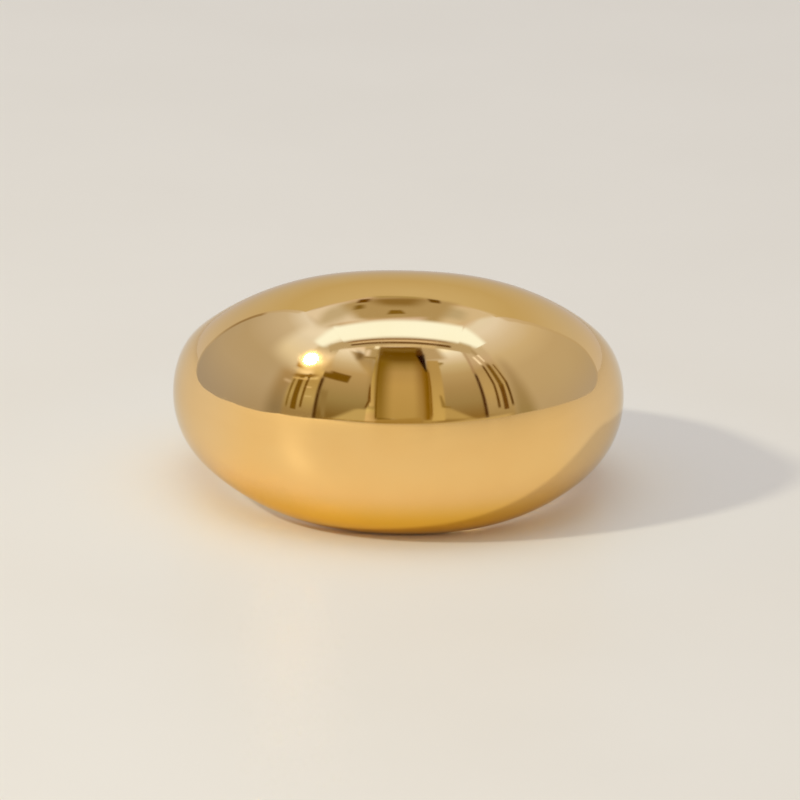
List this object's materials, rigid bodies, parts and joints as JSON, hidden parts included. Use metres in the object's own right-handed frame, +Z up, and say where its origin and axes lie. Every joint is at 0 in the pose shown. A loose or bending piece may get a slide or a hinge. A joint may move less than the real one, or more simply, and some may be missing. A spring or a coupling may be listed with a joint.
{
  "type": "chunky dome finger ring",
  "caption": "Polished gold finger ring whose band swells into a wide, high dome and tapers to a narrow shank.",
  "frame": {"origin": "middle of the ring's footprint, on the surface that it lies on", "axes": "+Z up; the dome faces -Y and the narrow shank is towards +Y; the ring is the same on both sides of the plane X = 0; the finger hole leans back from +Z towards +Y by 13.1 degrees"},
  "size_m": [0.0226, 0.024, 0.0128],
  "materials": {
    "polished_gold": "polished"
  },
  "bodies": {
    "root": {"domed_band": "polished_gold"}
  },
  "joints": []
}
